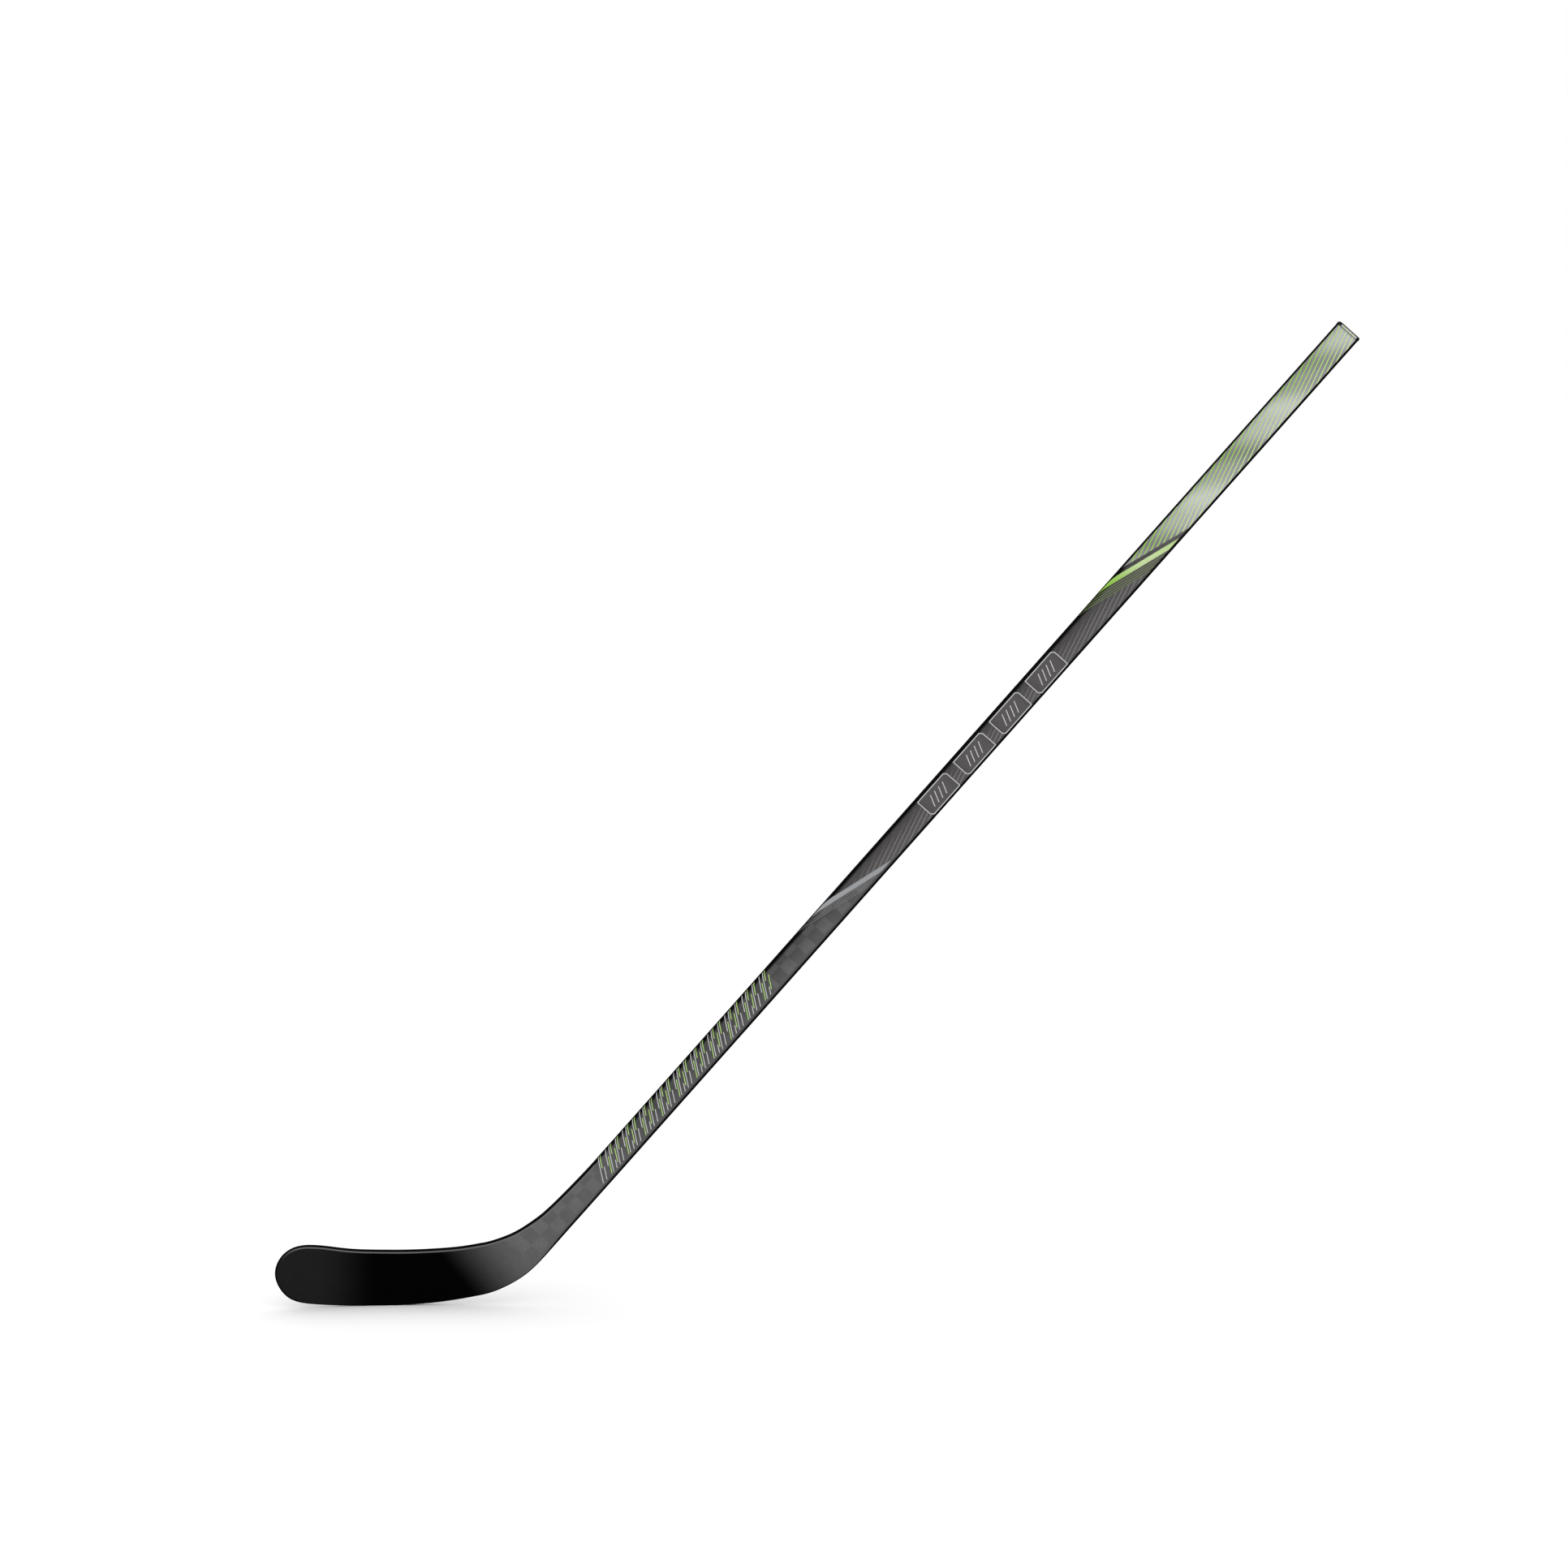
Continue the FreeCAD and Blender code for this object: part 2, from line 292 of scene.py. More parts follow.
def carbonPaint(name, onShell):
    material, graph = newPaint(name)
    place, station, offset = shaftPlace(graph)
    split = graph.add("ShaderNodeSeparateXYZ", None, {0: place})
    x = split.out("X")
    z = split.out("Z")

    # two rows of square tapes that take the light differently
    cell = (station / carbon["square"]).floor()
    row = offset > carbon["rowEdge"]
    odd = (cell + row) % 2
    inRows = offset > carbon["rowLow"]
    fadeStart, fadeEnd, stop = carbon["lowZone"]
    lowZone = station.ramp(fadeStart, fadeEnd) * (station < stop) * carbon["lowShare"]
    light = odd * inRows * (lowZone + (station > carbon["highZone"])).least(1.0)
    cloud = noise(graph, place, carbon["cloud"], 3.0)
    grain = noise(graph, place, carbon["grain"], 3.0, 0.7)
    faceColour = graph.blend(light, linear(*carbon["dark"]), linear(*carbon["light"]))
    slope, start = carbon["bands"]
    striped = station > start + slope * offset
    faceColour = graph.blend(striped, faceColour, linear(*carbon["striped"]))

    # the moulded blade is matt black and runs into the grey of the shaft at the heel; that fade is partly painted
    # shade, and the lighter toe is a painted reflection
    heelFade = (x + carbon["heelLean"] * z).ramp(*carbon["heelFade"])
    toeSheen = x.ramp(*carbon["toeSheen"])
    bladeColour = graph.blend(toeSheen, linear(*carbon["blade"]), linear(*carbon["toe"]))
    colour = graph.blend(heelFade, bladeColour, faceColour)
    # painted light on the hosel, and painted shade across the shaft's face towards its top edge
    level = carbon["hoselLight"]
    shade = level - station.ramp(*carbon["hoselLightEnd"]) * (level - offset.ramp(*carbon["crossShade"]))

    # painted shade: narrow sides and rounded edges are painted black where they turn away into shade
    if onShell:
        top = rimDepth(graph, "topRim")
        low = rimDepth(graph, "lowRim")
        growth = station.ramp(*rimShadeAndHighlight["join"]) * rimShadeAndHighlight["shellLowGrowth"]
        lowFace = (low - rimShadeAndHighlight["shellLow"] - growth) / (growth + rimShadeAndHighlight["shellLowSoft"])
        face = top.ramp(*rimShadeAndHighlight["shellTop"]) * lowFace.ramp(0.0, 1.0)
        # painted highlight: a thin bright line just under the blade's top rim
        line = top.ramp(*rimShadeAndHighlight["highlightStart"]) * (1 - top.ramp(*rimShadeAndHighlight["highlightEnd"]))
        line = line * x.ramp(*rimShadeAndHighlight["highlightToe"]) * z.ramp(*rimShadeAndHighlight["highlightHeight"])
        colour = graph.blend(face, linear(*carbon["edge"]), colour)
        colour = graph.blend(line, colour, linear(*rimShadeAndHighlight["line"]))
    else:
        sharp = offset.ramp(*rimShadeAndHighlight["sharpTop"])
        soft = offset.ramp(*rimShadeAndHighlight["softTop"])
        spread = station.ramp(*rimShadeAndHighlight["spread"])
        face = (sharp + spread * (soft - sharp)) * offset.ramp(*rimShadeAndHighlight["back"])
        colour = graph.blend(face, linear(*carbon["edge"]), colour)
    speckle = (grain - 0.5) * carbon["grainShare"] + (cloud - 0.5) * carbon["cloudShare"] + 1.0
    colour = graph.shaded(colour, speckle * shade)

    weave = twill(station + offset, station - offset, carbon["tow"])
    relief = weave * carbon["towShare"] * heelFade + grain * carbon["grainRelief"]
    roughness = carbon["roughness"] + (1 - heelFade) * carbon["bladeRougher"]
    roughness = roughness + (grain - 0.5) * carbon["grainRougher"]
    normal = bump(graph, relief, *carbon["relief"])
    coat(graph, colour, roughness, {"Specular IOR Level": carbon["gloss"]}, normal)
    return material


inks = {
    "silver": (170, 172, 175),
    "silverLow": (150, 152, 155),
    "silverLine": (132, 133, 134),
    "green": (176, 216, 118),
    "deepGreen": (148, 203, 68),
    "paleGreen": (204, 228, 164),
    "greenLine": (128, 150, 92),
    "barFill": (88, 84, 86),
    "outline": (196, 197, 196),
    "pinstripe": (120, 122, 119),
    "pinstripeDark": (58, 58, 57),
    "handle": (128, 128, 129),
    "handleLight": (212, 213, 216),
    "grain": 0.6 * mm,
    "mottle": 0.28,                # how much the grain lightens and darkens a print
    "glossMottle": 0.15,
    "relief": (0.12, 0.03 * mm),   # strength and height
}


def inkPaint(name, colour, second=None, share=None, metallic=0.0, roughness=0.38):
    # a printed ink: a fine grain, and where share is given a drift from one colour to the second
    material, graph = newPaint(name)
    place, station, offset = shaftPlace(graph)
    grain = noise(graph, place, inks["grain"], 2.0, 0.6)
    paint = linear(*inks[colour])
    if share is not None:
        paint = graph.blend(share(station, offset), paint, linear(*inks[second]))
    paint = graph.shaded(paint, (grain - 0.5) * inks["mottle"] + 1.0)
    normal = bump(graph, grain, *inks["relief"])
    coat(graph, paint, (grain - 0.5) * inks["glossMottle"] + roughness, {"Metallic": metallic}, normal)
    return material


# how the colour drifts within a print
drift = {
    "silverStart": 0.62,
    "silverRun": 0.085,            # up the shaft
    "silverLean": 0.03,            # and across it
    "silverSpan": (0.1, 1.2),
    "greenRise": (1.118, 1.168),   # the green band turns pale
    "greenFall": (1.178, 1.214),   # and a little deeper again
    "greenFallShare": 0.3,
    "pinFade": (-2.0 * mm, 13.0 * mm),
    "waveLean": 1.1,
    "waves": ((1.229, 0.134, 0.36), (1.21, 0.047, 0.08)),    # start, length and height of each
    # painted shade: the handle's lacquer is darker towards the top edge
    "topShade": (15.5 * mm, 8.0 * mm, 0.35, 1.0),
    "stripeWave": 0.75,
    "stripeBase": 0.32,
    "stripeLean": 30.0 * mm,
}


def silverShare(station, offset):
    run = (station - drift["silverStart"]) / drift["silverRun"]
    return (run + offset / drift["silverLean"]).ramp(*drift["silverSpan"])


def greenShare(station, offset):
    fall = station.ramp(*drift["greenFall"]) * drift["greenFallShare"]
    return station.ramp(*drift["greenRise"]) * (1 - fall)


def pinShade(station, offset):
    return offset.ramp(*drift["pinFade"])


def lacquerWave(station, offset):
    # broad slanting waves of light and shade in the metallic lacquer
    slanting = station + offset * drift["waveLean"]
    level = 0.5
    for start, length, height in drift["waves"]:
        level = level + ((slanting - start) * (2 * math.pi / length)).maths("SINE") * height
    return level.least(1.0).most(0.0)


def handleWaves(station, offset):
    # the lacquer's waves, with painted shade towards the top edge
    return lacquerWave(station, offset) * offset.ramp(*drift["topShade"])


def handleGreen(station, offset):
    wave = lacquerWave(station, offset) * drift["stripeWave"] + drift["stripeBase"]
    return (wave - offset / drift["stripeLean"]).least(1.0).most(0.0)


foams = {
    "blade": {"colour": (205, 196, 170), "cell": 0.9 * mm},
    "damper": {"colour": (96, 98, 104), "cell": 1.6 * mm},
    "shade": 0.82,
    "cloud": 12.0 * mm,
    "relief": (0.5, 0.2 * mm),
    "roughness": 0.85,
    "cellGloss": 0.6,
    "gloss": 0.2,
}


def foamPaint(name, kind):
    material, graph = newPaint(name)
    place = graph.add("ShaderNodeTexCoord").out("Object")
    cells = graph.add("ShaderNodeTexVoronoi", None, {"Vector": place, "Scale": 1.0 / foams[kind]["cell"]})
    cloud = noise(graph, place, foams["cloud"])
    colour = foams[kind]["colour"]
    paint = graph.blend(cloud, linear(*colour), linear(*(c * foams["shade"] for c in colour)))
    normal = bump(graph, cells, *foams["relief"])
    roughness = foams["roughness"] - cells * foams["cellGloss"]
    coat(graph, paint, roughness, {"Specular IOR Level": foams["gloss"]}, normal)
    return material


# uncoated plies with straight fibres, cured adhesive, and moulded plastic with a fine spark texture
plain = {
    "plies": {"dark": (30, 30, 32), "light": (62, 62, 66), "size": 0.5 * mm, "detail": 4.0, "rough": 0.7,
              "stretch": 0.02, "roughness": 0.35, "rougher": 0.2, "relief": (0.3, 0.05 * mm)},
    "glue": {"dark": (150, 132, 92), "light": (186, 170, 130), "size": 6.0 * mm, "detail": 3.0, "rough": 0.5,
             "stretch": None, "roughness": 0.25, "rougher": 0.15, "relief": (0.3, 0.2 * mm)},
    "plug": {"dark": (14, 14, 14), "light": (26, 26, 26), "size": 0.5 * mm, "detail": 2.0, "rough": 0.5,
             "stretch": None, "roughness": 0.42, "rougher": 0.2, "relief": (0.3, 0.04 * mm)},
}


def plainPaint(name, kind):
    # one soft pattern for colour, gloss and relief; stretch draws it out along the shaft
    look = plain[kind]
    material, graph = newPaint(name)
    place, station, offset = shaftPlace(graph)
    if look["stretch"]:
        depth = graph.dot(place, (0, 1, 0))
        place = graph.add("ShaderNodeCombineXYZ", None, {0: station * look["stretch"], 1: offset, 2: depth})
    grain = noise(graph, place, look["size"], look["detail"], look["rough"])
    paint = graph.blend(grain, linear(*look["dark"]), linear(*look["light"]))
    normal = bump(graph, grain, *look["relief"])
    coat(graph, paint, look["roughness"] + grain * look["rougher"], None, normal)
    return material


# camera, floor and light

view = {
    "lens": 85.0,
    "pitch": 7.0,              # degrees below level
    "width": 1.8431,           # metres across the picture at the stick's plane
    "aimAcross": 0.4795,       # the picture's centre, from the ground contact
    "aimHeight": 0.6272,
}


def addCamera():
    data = bpy.data.cameras.new("camera")
    data.lens = view["lens"]
    camera = bpy.data.objects.new("camera", data)
    bpy.context.scene.collection.objects.link(camera)
    pitch = math.radians(view["pitch"])
    distance = view["width"] * view["lens"] / data.sensor_width
    aim = Vector((view["aimAcross"], heel.y, view["aimHeight"]))
    camera.location = aim + Vector((0, -math.cos(pitch), math.sin(pitch))) * distance
    camera.rotation_euler = (math.pi / 2 - pitch, 0, 0)
    bpy.context.scene.camera = camera


studio = {
    "sky": 1.075,               # soft light from all round
    "sheen": 0.035,             # how much of it shows in reflections
    "floor": 0.94,              # how light the floor is
    "floorReach": 30.0,
    "overhead": {"size": (1.6, 1.2), "power": 4.0, "spot": (0.3, 0.1, 2.6), "aim": (0.3, 0, 0)},
    "edgeLight": {"size": (0.7, 0.25), "power": 3.0, "spot": (-0.45, -3.8, 1.9), "aim": (0, 0, 0.05)},
}


def setWorld():
    world = bpy.data.worlds.new("studio")
    bpy.context.scene.world = world
    world.use_nodes = True
    world.node_tree.nodes.clear()
    graph = Graph(world.node_tree)
    path = graph.add("ShaderNodeLightPath")
    seen = path.out("Is Camera Ray")
    glossy = path.out("Is Glossy Ray")
    unseen = (1 - glossy) * studio["sky"] + glossy * studio["sheen"]
    strength = seen + (1 - seen) * unseen
    back = graph.add("ShaderNodeBackground", None, {"Color": (1, 1, 1, 1), "Strength": strength})
    graph.add("ShaderNodeOutputWorld", None, {"Surface": back})


def addFloor():
    half = studio["floorReach"]
    corners = [(-half, -half, 0), (half, -half, 0), (half, half, 0), (-half, half, 0)]
    mesh = bpy.data.meshes.new("floor")
    mesh.from_pydata(corners, [], [(0, 1, 2, 3)])
    floor = bpy.data.objects.new("floor", mesh)
    bpy.context.scene.collection.objects.link(floor)
    material, graph = newPaint("floor")
    level = studio["floor"]
    shade = graph.add("ShaderNodeBsdfDiffuse", None, {"Color": (level, level, level, 1)})
    graph.add("ShaderNodeOutputMaterial", None, {"Surface": shade})
    mesh.materials.append(material)
    floor.visible_glossy = False


def addLight(name, size, power, spot, aim):
    data = bpy.data.lights.new(name, "AREA")
    data.shape = "RECTANGLE"
    data.size, data.size_y = size
    data.energy = power
    light = bpy.data.objects.new(name, data)
    bpy.context.scene.collection.objects.link(light)
    light.location = spot
    light.rotation_euler = (Vector(aim) - Vector(spot)).to_track_quat("-Z", "Y").to_euler()


addCamera()
setWorld()
addFloor()
addLight("overhead", **studio["overhead"])
addLight("edge_light", **studio["edgeLight"])
bpy.context.scene.view_settings.view_transform = "Standard"
print("camera, floor and lights are set")


# blade and hosel: one moulded shell, taken from the outside of the CAD pieces

shell = {
    "stands": ("blade_front_skin", "blade_back_skin", "blade_top_edge", "blade_sole_edge",
               "blade_toe_edge", "hosel_shell"),
    "toeCentre": 0.68,             # the toe's round begins at this share of its reach
    "bladeSections": 44,
    "hoselSections": 34,
    "toeRays": 56,
    "bladeCorner": 1.8 * mm,
    "cornerSteps": 7,
    "faceSteps": 9,
    "facePacking": 1.6,            # points crowd towards the rim
    "reach": 0.12,                 # rays start this far out and run a fifth further
    "samples": 60,                 # places where the blade's thickness is read
    "toeSamples": 8,               # of these, the ones in the thin toe don't count
    "toeMargin": 3.0 * mm,
    "probeHeight": 40.0 * mm,
    "probeDepth": 3.0 * mm,        # from the forehand face into the blade
    "probeRise": 10.0 * mm,        # the blade's middle rises this much towards the heel
    "sectionHeight": 42.0 * mm,    # a height that lies inside every section
    "toeGuess": 30.0 * mm,
    "kneeSlope": 0.16,             # how the blade rises where the hosel begins
    "gap": 0.2 * mm,               # between the shell and the sleeve
    "cornerGrowth": 0.6,
    "lowPasses": 6,                # smoothing of the lower edge, and of the rest
    "passes": 2,
    "merge": 0.02 * mm,
}


def surfaceTree(names):
    points, faces = [], []
    for name in names:
        base = len(points)
        points += [v.co.copy() for v in nodes[name].data.vertices]
        faces += [[base + i for i in p.vertices] for p in nodes[name].data.polygons]
    return BVHTree.FromPolygons(points, faces)


def outside(tree, inside, direction):
    # the outer surface in this direction, met from outside
    reach = shell["reach"]
    return tree.ray_cast(inside + direction * reach, -direction, reach * 1.2)[0]


def smoothed(values, passes=1):
    values = np.array(values, dtype=float)
    for _ in range(passes):
        values[1:-1] = (values[:-2] + 2 * values[1:-1] + values[2:]) / 4
    return values


def profile(length, half, corner):
    # one half of a section, from the rim to its middle: distance in from the rim, and half thickness there
    rows = []
    for step in range(shell["cornerSteps"] + 1):
        turn = math.pi / 2 * step / shell["cornerSteps"]
        rows.append((corner * (1 - math.cos(turn)), half - corner + corner * math.sin(turn)))
    for step in range(1, shell["faceSteps"] + 1):
        share = (step / shell["faceSteps"]) ** shell["facePacking"]
        rows.append((corner + (length / 2 - corner) * share, half))
    return rows


def buildShell():
    tree = surfaceTree(shell["stands"])
    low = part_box("blade_toe_edge")[0]
    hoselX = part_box("hosel_shell")[0].x
    toeX = low.x * shell["toeCentre"]
    toward = Vector((0, 1, 0))
    upward = Vector((0, 0, 1))

    def faces(x, z):
        # the two faces at this place
        spot = Vector((x, 0, z))
        front = outside(tree, spot, -toward)
        back = outside(tree, spot, toward)
        return front.y, back.y

    # the blade's curve and thickness
    probe = Vector((toeX, faces(toeX, shell["probeHeight"])[0] + shell["probeDepth"], shell["probeHeight"]))
    midZ = outside(tree, probe, upward).z / 2
    xs = np.linspace(low.x + shell["toeMargin"], hoselX, shell["samples"])
    middles, halves = [], []
    for x in xs:
        front, back = faces(float(x), midZ + shell["probeRise"] * (x - toeX) / (hoselX - toeX))
        middles.append((front + back) / 2)
        halves.append((back - front) / 2)
    middles = smoothed(middles, 2)
    skip = shell["toeSamples"]
    thickness = np.polyfit(xs[skip:], halves[skip:], 1)

    def middleY(x):
        return float(np.interp(x, xs, middles))

    def halfAt(x):
        return float(np.polyval(thickness, x))

    # level sections along the blade
    sections = []
    for x in np.linspace(toeX, hoselX, shell["bladeSections"]):
        x = float(x)
        inside = Vector((x, middleY(x), shell["sectionHeight"]))
        sections.append((outside(tree, inside, -upward), outside(tree, inside, upward), halfAt(x),
                         shell["bladeCorner"]))

    # turning sections through the hosel
    start = (sections[-1][0] + sections[-1][1]) / 2
    end = axisStart + along * (stationStart - shell["gap"])
    rise = Vector((1, 0, shell["kneeSlope"]))
    knee = start + rise * ((end - start).dot(across) / rise.dot(across))
    bladeHalf = halfAt(hoselX)
    count = shell["hoselSections"]
    for step in range(1, count + 1):
        share = step / count
        spot = start * (1 - share) ** 2 + knee * 2 * share * (1 - share) + end * share ** 2
        up = upward.slerp(across, share * share * (3 - 2 * share))
        lowEnd = outside(tree, spot, -up)
        highEnd = outside(tree, spot, up)
        middle = (lowEnd + highEnd) / 2
        front, back = faces(middle.x, middle.z)
        half = (back - front) / 2
        growth = max((half - bladeHalf) / (shaftDepth / 2 - bladeHalf), 0.0)
        corner = shell["bladeCorner"] + (shaftCorner - shell["bladeCorner"]) * growth ** shell["cornerGrowth"]
        sections.append((lowEnd, highEnd, half, corner))
    lows = smoothed([s[0] for s in sections], shell["lowPasses"])
    highs, widths, corners = (smoothed([s[i] for s in sections], shell["passes"]) for i in (1, 2, 3))

    # rays round the toe
    centre = Vector((toeX, middleY(toeX), float(lows[0][2] + highs[0][2]) / 2))
    turns = [math.pi * step / shell["toeRays"] for step in range(shell["toeRays"] + 1)]
    directions = [Vector((-math.sin(turn), 0, -math.cos(turn))) for turn in turns]
    rims = []
    for direction in directions:
        guess = centre + direction * shell["toeGuess"]
        inside = Vector((centre.x, middleY(guess.x), centre.z))
        hit = outside(tree, inside, direction)
        rim = Vector((hit.x, middleY(hit.x), hit.z))
        rims.append((rim - centre).xz.length)
    rims = smoothed(rims, 1)

    # every point with its depth in from the top rim and from the lower rim
    rings, depths = [], []
    for lowEnd, highEnd, half, corner in zip(lows, highs, widths, corners):
        lowEnd, highEnd = Vector(lowEnd), Vector(highEnd)
        length = (highEnd - lowEnd).length
        up = (highEnd - lowEnd) / length
        rows = profile(length, half, corner)
        side = [lowEnd + up * d + toward * -h for d, h in rows]
        side += [highEnd - up * d + toward * -h for d, h in reversed(rows[:-1])]
        back = [highEnd - up * d + toward * h for d, h in rows]
        back += [lowEnd + up * d + toward * h for d, h in reversed(rows[:-1])]
        rings.append(side + back)
        depths.append([((highEnd - p).dot(up), (p - lowEnd).dot(up)) for p in rings[-1]])
    rays, rayDepths = [], []
    for direction, rim in zip(directions, rims):
        rows = profile(2 * rim, 0.0, shell["bladeCorner"])
        front, back = [], []
        for d, h in rows:
            spot = centre + direction * (rim - d)
            half = halfAt(spot.x) + h
            front.append(Vector((spot.x, middleY(spot.x) - half, spot.z)))
            back.append(Vector((spot.x, middleY(spot.x) + half, spot.z)))
        rays.append(front[::-1] + back)
        inward = [d for d, h in rows]
        rayDepths.append([(d, d) for d in inward[::-1] + inward])

    shape = bmesh.new()
    topRim = shape.verts.layers.float.new("topRim")
    lowRim = shape.verts.layers.float.new("lowRim")

    def newPoint(spot, pair):
        point = shape.verts.new(spot)
        point[topRim], point[lowRim] = pair
        return point

    made = [[newPoint(p, d) for p, d in zip(ring, pairs)] for ring, pairs in zip(rings, depths)]
    for first, second in zip(made, made[1:]):
        for i in range(len(first)):
            j = (i + 1) % len(first)
            shape.faces.new((first[i], first[j], second[j], second[i]))
    shape.faces.new(made[-1])
    fan = [[newPoint(p, d) for p, d in zip(ray, pairs)] for ray, pairs in zip(rays, rayDepths)]
    for first, second in zip(fan, fan[1:]):
        for i in range(len(first) - 1):
            shape.faces.new((first[i], second[i], second[i + 1], first[i + 1]))
    bmesh.ops.remove_doubles(shape, verts=shape.verts, dist=shell["merge"])
    bmesh.ops.recalc_face_normals(shape, faces=shape.faces)
    mesh = bpy.data.meshes.new("blade_and_hosel")
    shape.to_mesh(mesh)
    shape.free()
    for polygon in mesh.polygons:
        polygon.use_smooth = len(polygon.vertices) < 5      # all but the flat end that meets the sleeve
    return mesh


def addPiece(name, mesh, material, body, replaced=()):
    piece = bpy.data.objects.new(name, mesh)
    bpy.context.scene.collection.objects.link(piece)
    mesh.materials.clear()
    mesh.materials.append(material)
    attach(piece, body)
    if replaced:
        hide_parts(*replaced)
    return piece


shellPaint = carbonPaint("blade_and_hosel_coat", True)
bodyPaint = carbonPaint("shaft_coat", False)
addPiece("blade_and_hosel", buildShell(), shellPaint, "stick", shell["stands"])
print("blade and hosel shell is made")


sleeveShape = {
    "cornerSteps": 10,
    "hold": 0.5 * mm,              # short flats held straight beside every corner
    "stops": 60,
}


def roundedSection(station, width, depth, corner):
    # a ring of points round the shaft
    steps, hold = sleeveShape["cornerSteps"], sleeveShape["hold"]
    points = []
    for quarter in range(4):
        turn = quarter * math.pi / 2
        signs = ((1, 1), (-1, 1), (-1, -1), (1, -1))[quarter]
        middle = ((width / 2 - corner) * signs[0], (depth / 2 - corner) * signs[1])
        arc = [(math.cos(turn + math.pi / 2 * i / steps), math.sin(turn + math.pi / 2 * i / steps))
               for i in range(steps + 1)]
        spots = [(middle[0] + corner * c, middle[1] + corner * s) for c, s in arc]
        first = (spots[0][0] + hold * math.sin(turn), spots[0][1] - hold * math.cos(turn))
        last = (spots[-1][0] - hold * math.cos(turn), spots[-1][1] - hold * math.sin(turn))
        points += [first] + spots + [last]
    base = axisStart + along * station
    return [base + across * o + Vector((0, d, 0)) for o, d in points]


def buildSleeve():
    tube = np.array([v.co for v in nodes["shaft_tube"].data.vertices])
    innerDepth = float(tube[:, 1].max() - tube[:, 1].min())
    wall = (shaftDepth - innerDepth) / 2
    outerRing = (shaftWidth, shaftDepth, shaftCorner)
    innerRing = (shaftWidth - 2 * wall, innerDepth, shaftCorner - wall)
    stops = [float(v) for v in np.linspace(stationStart, stationEnd, sleeveShape["stops"])]
    shape = bmesh.new()
    skins = []
    for ring in (outerRing, innerRing):
        skins.append([[shape.verts.new(p) for p in roundedSection(stop, *ring)] for stop in stops])
    count = len(skins[0][0])
    for skin, inwards in zip(skins, (False, True)):
        for first, second in zip(skin, skin[1:]):
            for i in range(count):
                j = (i + 1) % count
                corners = (first[i], first[j], second[j], second[i])
                shape.faces.new(corners[::-1] if inwards else corners)
    for end in (0, -1):
        for i in range(count):
            j = (i + 1) % count
            outer, inner = skins[0][end], skins[1][end]
            face = shape.faces.new((outer[i], outer[j], inner[j], inner[i]))
            for edge in face.edges:
                if len({v in outer for v in edge.verts}) == 1:
                    edge.smooth = False
    bmesh.ops.recalc_face_normals(shape, faces=shape.faces)
    mesh = bpy.data.meshes.new("shaft_sleeve")
    shape.to_mesh(mesh)
    shape.free()
    for polygon in mesh.polygons:
        polygon.use_smooth = True
    return mesh


addPiece("shaft_sleeve", buildSleeve(), bodyPaint, "stick", ("shaft_weave_sleeve",))
print("shaft sleeve is made")


# prints: flat art, laid along the shaft and wrapped round its edges

film = {
    "thickness": 0.03 * mm,
    "low": 0.05 * mm,              # the top of the first layer of print
    "high": 0.12 * mm,             # the top of what is printed on it
    "top": 0.16 * mm,              # and of the outlines on that
    "shortest": 0.2 * mm,          # shorter bits of stripe are left out
    "strokeStep": 0.6 * mm,
    "mitre": 0.35,                 # limits how far a line's corner runs out
}


def wrapped(graph, source, x, y):
    # from the flat print to the shaft's surface
    corner = source.out("Corner")
    lift = source.out("Lift")
    flat = source.out("Face Half")
    side = y.maths("SIGN")
    over = (abs(y) - flat).most(0.0)
    turn = (over / corner).least(math.pi / 2)
    rest = (over - corner * (math.pi / 2)).most(0.0)
    radius = corner + lift
    out = side * (abs(y).least(flat) + radius * turn.maths("SINE"))
    depth = source.out("Half Depth") - corner + radius * turn.maths("COSINE") - rest
    depth = depth * source.out("Side")
    spots = []
    for axis in range(3):
        spots.append(x * along[axis] + out * across[axis] + depth * (axis == 1) + axisStart[axis])
    return graph.add("ShaderNodeCombineXYZ", None, dict(enumerate(spots)))


wrapInputs = [(size, "Float") for size in ("Face Half", "Corner", "Half Depth", "Lift", "Side")]
wrapInputs.append(("Material", "Material"))


def newTree(name, inputs):
    tree = bpy.data.node_groups.new(name, "GeometryNodeTree")
    tree.interface.new_socket("Geometry", in_out="INPUT", socket_type="NodeSocketGeometry")
    for label, kind in inputs:
        tree.interface.new_socket(label, in_out="INPUT", socket_type="NodeSocket" + kind)
    tree.interface.new_socket("Geometry", in_out="OUTPUT", socket_type="NodeSocketGeometry")
    graph = Graph(tree)
    return tree, graph, graph.add("NodeGroupInput")


def finishTree(graph, geometry, source, position):
    moved = graph.add("GeometryNodeSetPosition", None, {"Geometry": geometry, "Position": position})
    real = graph.add("GeometryNodeRealizeInstances", None, {"Geometry": moved})
    values = {"Geometry": real, "Material": source.out("Material")}
    painted = graph.add("GeometryNodeSetMaterial", None, values)
    graph.add("NodeGroupOutput", None, {"Geometry": painted})


def repeatTree():
    # a flat motif, repeated at a pitch and wrapped
    inputs = [("Count", "Int"), ("Start", "Float"), ("Pitch", "Float")] + wrapInputs
    tree, graph, source = newTree("repeated_print", inputs)
    first = graph.add("ShaderNodeCombineXYZ", None, {0: source.out("Start")})
    step = graph.add("ShaderNodeCombineXYZ", None, {0: source.out("Pitch")})
    line = graph.add("GeometryNodeMeshLine", None,
                     {"Count": source.out("Count"), "Start Location": first, "Offset": step})
    copies = graph.add("GeometryNodeInstanceOnPoints", None,
                       {"Points": line, "Instance": source.out("Geometry")})
    real = graph.add("GeometryNodeRealizeInstances", None, {"Geometry": copies})
    split = graph.add("ShaderNodeSeparateXYZ", None, {0: graph.add("GeometryNodeInputPosition")})
    finishTree(graph, real, source, wrapped(graph, source, split.out("X"), split.out("Y")))
    return tree


